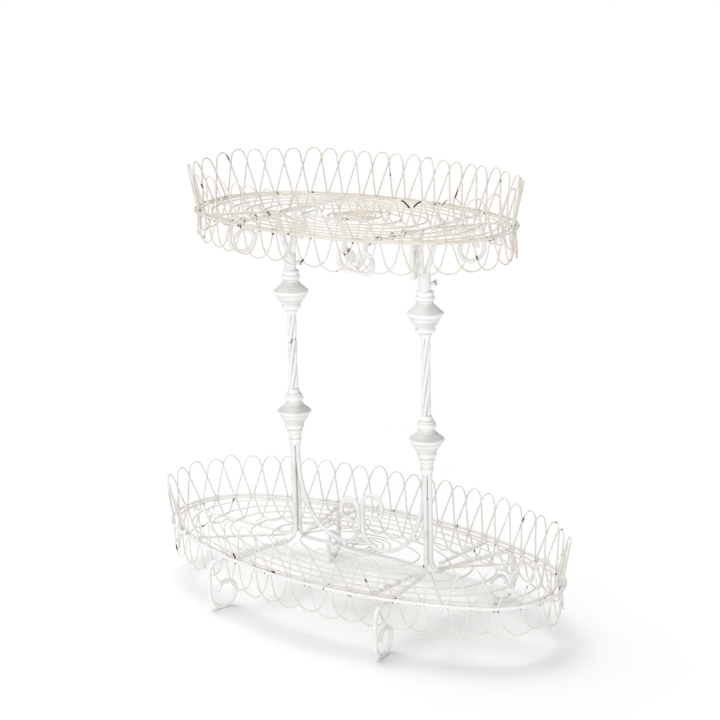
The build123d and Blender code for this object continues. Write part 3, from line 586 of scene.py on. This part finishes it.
# Everything of one tier that replaces or adds to the CAD's wires
def makeTier(name):
    tier = tiers[name]
    table = ovalTable(tier["halfLength"], tier["halfWidth"], tier["endRadius"])
    perimeter = table[0][-1]
    barTop = tier["height"] - tier["rim"] / 2 - wireSizes["clearance"]
    rimInset = layerInset(tier, 1) + wireSizes["loop"] / 2 + wireSizes["clearance"] + wireSizes["innerRim"] / 2
    innerLevel = barTop + wireSizes["clearance"] + wireSizes["innerRim"] / 2
    ringLevel = barTop + wireSizes["clearance"] + wireSizes["ring"] / 2
    feet = [makeLoops(name, tier, table, layer) for layer in (0, 1)]
    total = tier["backLoops"] + tier["frontLoops"]
    apart = tierDetails["weldApart"]
    marks = loopDistance(tier, perimeter, np.arange(total) + 0.5 + apart)
    marks = np.concatenate([marks, loopDistance(tier, perimeter, np.arange(total) + 0.5 - apart)])
    makeRim(f"{name}OuterRimRod", tier, table, 0.0, tier["height"], tier["rim"], tier["rimPaint"],
            f"{name}_outer_rim", marks)
    makeRim(f"{name}InnerRimWire", tier, table, rimInset, innerLevel, wireSizes["innerRim"],
            tier["wirePaint"], f"{name}_inner_rim", marks, sides=tierDetails["innerRimSides"])
    # floor rings: the oval at fixed shares of its length and width
    random = np.random.default_rng(tier["seed"] + tierDetails["ringSeed"])
    steps, paths = rimBends["ringSteps"], []
    for longShare, wideShare in zip(wireSizes["ringLengths"], wireSizes["ringWidths"]):
        ringTable = ovalTable(
            tier["halfLength"] * longShare, tier["halfWidth"] * wideShare, tier["endRadius"] * wideShare
        )
        along = np.linspace(0, ringTable[0][-1], steps, endpoint=False)
        point, normal = ovalAt(ringTable, along)
        point = point + normal * wander(random, steps, *rimBends["ringSideways"])[:, None]
        level = ringLevel + np.abs(wander(random, steps, *rimBends["ringLevel"]))
        paths.append(np.concatenate([point, level[:, None]], axis=1))
    sides = rimBends["ringSides"]
    points, faces = tubes(np.array(paths) * mm, wireSizes["ring"] / 2 * mm, sides, (0, 0, 1.0), True)
    makePiece(f"{name}FloorRingWires", points, faces, tier["wirePaint"], tier["body"],
              None, (f"{name}_floor_rings",))
    # rosette: half circles that grow by half the spacing, end to end
    arcs = []
    start, spacing, shift = (
        wireSizes[key] * tier["halfWidth"] for key in ("rosetteStart", "rosetteSpacing", "rosetteShift")
    )
    for step in range(wireSizes["rosetteHalfTurns"]):
        side = step % 2
        radius = start + step * spacing / 2
        angle = np.linspace(side * np.pi, side * np.pi + np.pi, tierDetails["rosetteSteps"])
        angle = angle[(1 if step else 0):]
        arcs.append(np.stack([
            (0.5 - side) * spacing / 2 + radius * np.cos(angle), shift + radius * np.sin(angle),
            np.full(len(angle), ringLevel),
        ], axis=1))
    path, size = roundedEnds(np.concatenate(arcs), wireSizes["ring"] / 2)
    points, faces = tubes(path[None] * mm, size[None] * mm, tierDetails["rosetteSides"], (0, 0, 1.0), False)
    makePiece(f"{name}RosetteWire", points, faces, tier["wirePaint"], tier["body"],
              None, (f"{name}_rosette",))
    # weld lumps where each loop touches the rims
    marksXY = np.concatenate([np.concatenate(found[:2]) for found in feet])
    inward = unit(-marksXY)
    count = len(marksXY)
    level = np.full((count, 1), tier["height"] - tierDetails["weldBelow"])
    outer = np.concatenate([marksXY - inward * tierDetails["weldOut"], level], axis=1)
    sizes = random.uniform(*tierDetails["weldRadius"], count)
    lumps(f"{name}RimWelds", outer, sizes, tier["seed"] + tierDetails["weldSeed"], ironPaint, tier["body"])
    # dark bare-iron dots a few millimetres under the rim at the loops' feet
    dots = np.concatenate([found[2] for found in feet])
    dots = dots[random.uniform(0, 1, len(dots)) < tier["dotShare"]]
    sizes = random.uniform(*tierDetails["dotRadius"], len(dots))
    lumps(f"{name}DarkRimDots", dots, sizes, tier["seed"] + tierDetails["dotSeed"], bareIron, tier["body"])
    # binding wire where the floor rings lie on the cross bars
    coils = []
    for x in tier["crossBars"]:
        for y in tier["wraps"]:
            for face in (-1, 1):
                level = ringLevel - tierDetails["wrapBelow"]
                centre = np.array([x, face * y + random.uniform(-1, 1), level])
                coils.append(wrapCoil(centre))
    radius, sides = tierDetails["wrapRadius"] * mm, tierDetails["wrapSides"]
    for half, part, paint in zip(("Front", "Back"), (coils[::2], coils[1::2]), tier["wrapPaint"]):
        points, faces = tubes(np.array(part) * mm, radius, sides, (0, 1.0, 0), False)
        makePiece(f"{name}{half}BindingWire", points, faces, paint, tier["body"])
    print(name, "tier dressed")


for tierName in tiers:
    makeTier(tierName)


# Turned pieces, from the bottom up: shares of the height and of the greatest radius
beads = {
    "columns": {"left": -122.5, "right": 131.5}, "sides": 72, "steps": 260,
    "rings": 5, "groove": 0.875, "riseShare": 0.25, "fineDepth": 0.22, "fineWidth": 0.45, "fineHollow": 0.35,
    # the hollow values set where the grooves get painted shade
    "hollowReach": 1.5, "hollowStart": 0.7, "hollowFull": 1.2,
    "uneven": 0.006, "unevenWaves": 2, "unevenPace": 0.11,
    "collar": {
        "bottom": 231.0, "height": 11.0, "radius": 8.6618,
        "shares": ((0.0, 0.9), (0.35, 1.0), (0.86, 1.14), (0.86, 1.0), (1.0, 1.0)), "fine": (),
    },
    "lower_bead": {
        "bottom": 242.0, "height": 77.0, "radius": 26.4, "cone": (0.295, 0.445, 0.48, 0.79),
        "foot": ((0.0, 0.36), (0.08, 0.36), (0.11, 0.44), (0.155, 0.45), (0.175, 0.40), (0.20, 0.52),
                 (0.24, 0.555), (0.28, 0.52)),
        "crown": ((0.475, 0.86), (0.525, 0.985), (0.54, 1.0), (0.557, 0.985), (0.60, 0.82), (0.665, 0.59),
                  (0.72, 0.45), (0.742, 0.42), (0.765, 0.49), (0.79, 0.54), (0.82, 0.555), (0.85, 0.53),
                  (0.867, 0.47), (0.895, 0.47), (0.905, 0.40), (0.96, 0.33), (1.0, 0.30)),
        "fine": (0.462, 0.487, 0.513, 0.567, 0.591, 0.615, 0.64, 0.668),
    },
    "upper_bead": {
        "bottom": 436.0, "height": 66.0, "radius": 27.0, "cone": (0.22, 0.385, 0.48, 0.79),
        "foot": ((0.0, 0.33), (0.06, 0.33), (0.10, 0.42), (0.115, 0.50), (0.155, 0.56), (0.20, 0.52)),
        "crown": ((0.43, 0.86), (0.495, 0.985), (0.515, 1.0), (0.535, 0.985), (0.60, 0.80), (0.68, 0.59),
                  (0.75, 0.44), (0.785, 0.42), (0.80, 0.46), (0.83, 0.54), (0.86, 0.55), (0.89, 0.51),
                  (0.905, 0.46), (0.925, 0.49), (0.96, 0.50), (1.0, 0.46)),
        "fine": (0.408, 0.438, 0.468, 0.55, 0.583, 0.616, 0.65, 0.69),
    },
}


# The bead's outline: foot, a cone of rings that each start with a groove, then the crown
def beadShares(bead):
    if "shares" in bead:
        return bead["shares"]
    low, high, thin, thick = bead["cone"]
    step, growth = (high - low) / beads["rings"], (thick - thin) / beads["rings"]
    cone = []
    for ring in range(beads["rings"]):
        edge = thin + growth * (ring + 1)
        cone += [(low + step * ring, edge * beads["groove"]), (low + step * (ring + beads["riseShare"]), edge),
                 (low + step * (ring + 1), edge)]
    return bead["foot"] + tuple(cone) + bead["crown"]


# A turned bead as one closed skin. Radius at even steps along the outline, less the fine tool grooves;
# hollow is how far a point lies under its neighbours, and there the paint is darkened as painted shade.
def turnBead(kind, side, x):
    bead = beads[kind]
    random = np.random.default_rng(len(kind) * 7 + len(side))
    share = np.array(beadShares(bead))
    height, radius = share[:, 0] * bead["height"], share[:, 1] * bead["radius"]
    run = np.concatenate([[0], np.cumsum(np.hypot(np.diff(height), np.diff(radius)))])
    along = np.linspace(0, run[-1], beads["steps"])
    z, r = np.interp(along, run, height), np.interp(along, run, radius)
    fine = np.array(bead["fine"]).reshape(-1, 1) * bead["height"]
    groove = np.exp(-(((z[None] - fine) / beads["fineWidth"]) ** 2)).sum(axis=0) if len(fine) else 0 * z
    r = r - beads["fineDepth"] * groove
    near = np.abs(z[:, None] - z[None]) < beads["hollowReach"]
    depth = np.where(near, r[None], 0).max(axis=1) - r - beads["hollowStart"]
    hollow = np.clip(depth / beads["hollowFull"], 0, 1)
    hollow = np.clip(hollow + groove * beads["fineHollow"], 0, 1)
    turn = np.linspace(0, 2 * np.pi, beads["sides"], endpoint=False)
    start = random.uniform(0, 6)
    wave = np.sin(turn[None] * beads["unevenWaves"] + start + z[:, None] * beads["unevenPace"])
    ring = r[:, None] * (1 - beads["uneven"] * np.abs(wave))
    points = np.stack([
        x + ring * np.cos(turn), ring * np.sin(turn), np.repeat(bead["bottom"] + z[:, None], len(turn), axis=1),
    ], axis=-1).reshape(-1, 3)
    i, j = np.meshgrid(np.arange(len(z) - 1), np.arange(len(turn)), indexing="ij")
    k = (j + 1) % len(turn)
    faces = np.stack([
        i * len(turn) + j, i * len(turn) + k, (i + 1) * len(turn) + k, (i + 1) * len(turn) + j,
    ], axis=-1).reshape(-1, 4).tolist()
    faces.append(np.arange(len(turn))[::-1].tolist())
    faces.append(((len(z) - 1) * len(turn) + np.arange(len(turn))).tolist())
    name = f"{side}{kind.title().replace('_', '')}"
    piece = makePiece(name, points * mm, faces, litBeadPaint, "stand", None, (f"{kind}_{side}",))
    layer = piece.data.attributes.new("hollow", "FLOAT", "POINT")
    layer.data.foreach_set("value", np.repeat(hollow, len(turn)).astype(np.float32))


for side, x in beads["columns"].items():
    for kind in ("collar", "lower_bead", "upper_bead"):
        turnBead(kind, side, x)
print("beads turned")


# The rods, bars and screws keep their CAD shape and get their paint or metal
def dress(node, material):
    mesh = nodes[node].data
    if len(mesh.materials) == 0:
        mesh.materials.append(material)
    for i in range(len(mesh.materials)):
        mesh.materials[i] = material


for node in nodes:
    if node.startswith("wing_screw"):
        dress(node, screwMetal)
    elif "leg" in node or "brace" in node:
        dress(node, stainedPaint)
    elif "diagonal" in node:
        dress(node, lowerWirePaint if node.startswith("lower") else upperWirePaint)
    else:
        dress(node, ironPaint)
print("rods painted")


# Studio: a pale floor, a wide soft light from above, a level fill from the front, a pale room, and the camera
# at the photograph's angle
studio = {
    "floorSize": 60.0, "floorColour": (0.925, 0.925, 0.925, 1), "floorDrift": (0.93, 0.93, 0.93, 1),
    "roomStrength": 0.27, "roomColour": (1.0, 1.0, 1.0, 1), "floorSpecular": 0.1, "floorRoughness": 0.8,
    "floorRoughSpread": 0.1, "floorBump": 0.00002, "floorScales": (1.5, 3.0, 400.0), "floorFade": (0.3, 0.7),
    # name, direction the light comes from, strength, width in degrees
    "lights": (("keyLight", (-0.28, 0.04, 1.0), 2.30, 42.0), ("frontFill", (0.46, -0.86, 0.06), 2.45, 70.0)),
}
floorMesh = bpy.data.meshes.new("studioFloor")
half = studio["floorSize"] / 2
corners = [(-half, -half, 0), (half, -half, 0), (half, half, 0), (-half, half, 0)]
floorMesh.from_pydata(corners, [], [(0, 1, 2, 3)])
floor = bpy.data.objects.new("studioFloor", floorMesh)
bpy.context.scene.collection.objects.link(floor)
floorMaterial, floorTree, floorShader, floorPlace = startMaterial("paleFloor")
cloud, blotches, grain = (floorPlace.noise(scale, 2.0) for scale in studio["floorScales"])
floorTone = cloud.step(*studio["floorFade"]).mix(studio["floorColour"], studio["floorDrift"])
floorRough = blotches * studio["floorRoughSpread"] + studio["floorRoughness"]
finishMaterial(floorTree, floorShader, floorTone, floorRough, grain, studio["floorBump"])
floorShader.inputs["Specular IOR Level"].default_value = studio["floorSpecular"]
floorMesh.materials.append(floorMaterial)

world = bpy.data.worlds.new("paleRoom")
bpy.context.scene.world = world
world.use_nodes = True
room = world.node_tree.nodes["Background"]
room.inputs["Color"].default_value = studio["roomColour"]
room.inputs["Strength"].default_value = studio["roomStrength"]
for lightName, direction, strength, width in studio["lights"]:
    lightData = bpy.data.lights.new(lightName, "SUN")
    lightData.energy = strength
    lightData.angle = math.radians(width)
    lamp = bpy.data.objects.new(lightName, lightData)
    bpy.context.scene.collection.objects.link(lamp)
    lamp.rotation_mode = "QUATERNION"
    lamp.rotation_quaternion = (-Vector(direction)).to_track_quat("-Z", "Y")

cameraView = {
    "place": (1.8551, -2.2131, 1.1330), "ahead": (-0.62290, 0.74309, -0.24457), "roll": -0.0211,
    "lens": 101.45, "shift": (0.00737, -0.02104), "sensor": 36.0, "clip": (0.1, 60.0),
}
ahead = Vector(cameraView["ahead"]).normalized()
right = ahead.cross(Vector((0, 0, 1))).normalized()
upward = right.cross(ahead)
c, s = math.cos(cameraView["roll"]), math.sin(cameraView["roll"])
rolledRight = right * c + upward * s
rolledUp = upward * c - right * s
cameraData = bpy.data.cameras.new("photoCamera")
cameraData.sensor_width = cameraView["sensor"]
cameraData.lens = cameraView["lens"]
cameraData.shift_x, cameraData.shift_y = cameraView["shift"]
cameraData.clip_start, cameraData.clip_end = cameraView["clip"]
camera = bpy.data.objects.new("photoCamera", cameraData)
bpy.context.scene.collection.objects.link(camera)
camera.matrix_world = Matrix.Translation(cameraView["place"]) @ Matrix(
    (rolledRight, rolledUp, -ahead)
).transposed().to_4x4()
bpy.context.scene.camera = camera
bpy.context.scene.view_settings.view_transform = "Standard"
bpy.context.scene.view_settings.exposure = 0.0
print("studio ready")
